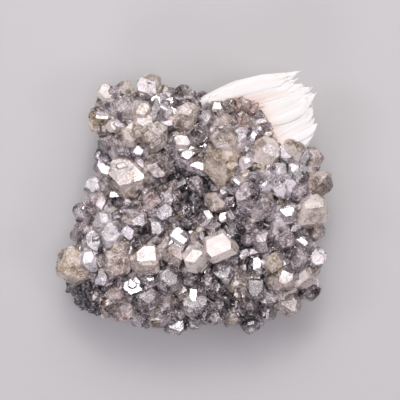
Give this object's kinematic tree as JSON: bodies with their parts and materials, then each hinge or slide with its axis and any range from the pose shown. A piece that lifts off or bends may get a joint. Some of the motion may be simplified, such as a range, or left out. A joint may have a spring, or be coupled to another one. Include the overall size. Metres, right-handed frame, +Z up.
{
  "type": "cerussite specimen",
  "caption": "Blocky smoky to honey cerussite crystals crusting a galena rock, with a fan of white barite blades at its far right edge, lying on its flat back.",
  "frame": {"origin": "on the flat broken underside that the specimen rests on, below the middle of its plan", "axes": "+Z up out of the crystal face, +X along its longest side towards the right, +Y towards the barite fan"},
  "size_m": [0.0605, 0.0575, 0.0246],
  "materials": {
    "galena": "dark lead grey, metallic and sparkling where it is broken",
    "cerussite": "smoky grey to honey, translucent, with brilliant flat faces",
    "barite": "opaque white, pearly, striated along the blades"
  },
  "bodies": {
    "root": {"galena_matrix": "galena", "cerussite_druse": "cerussite", "barite_fan": "barite"}
  },
  "joints": []
}
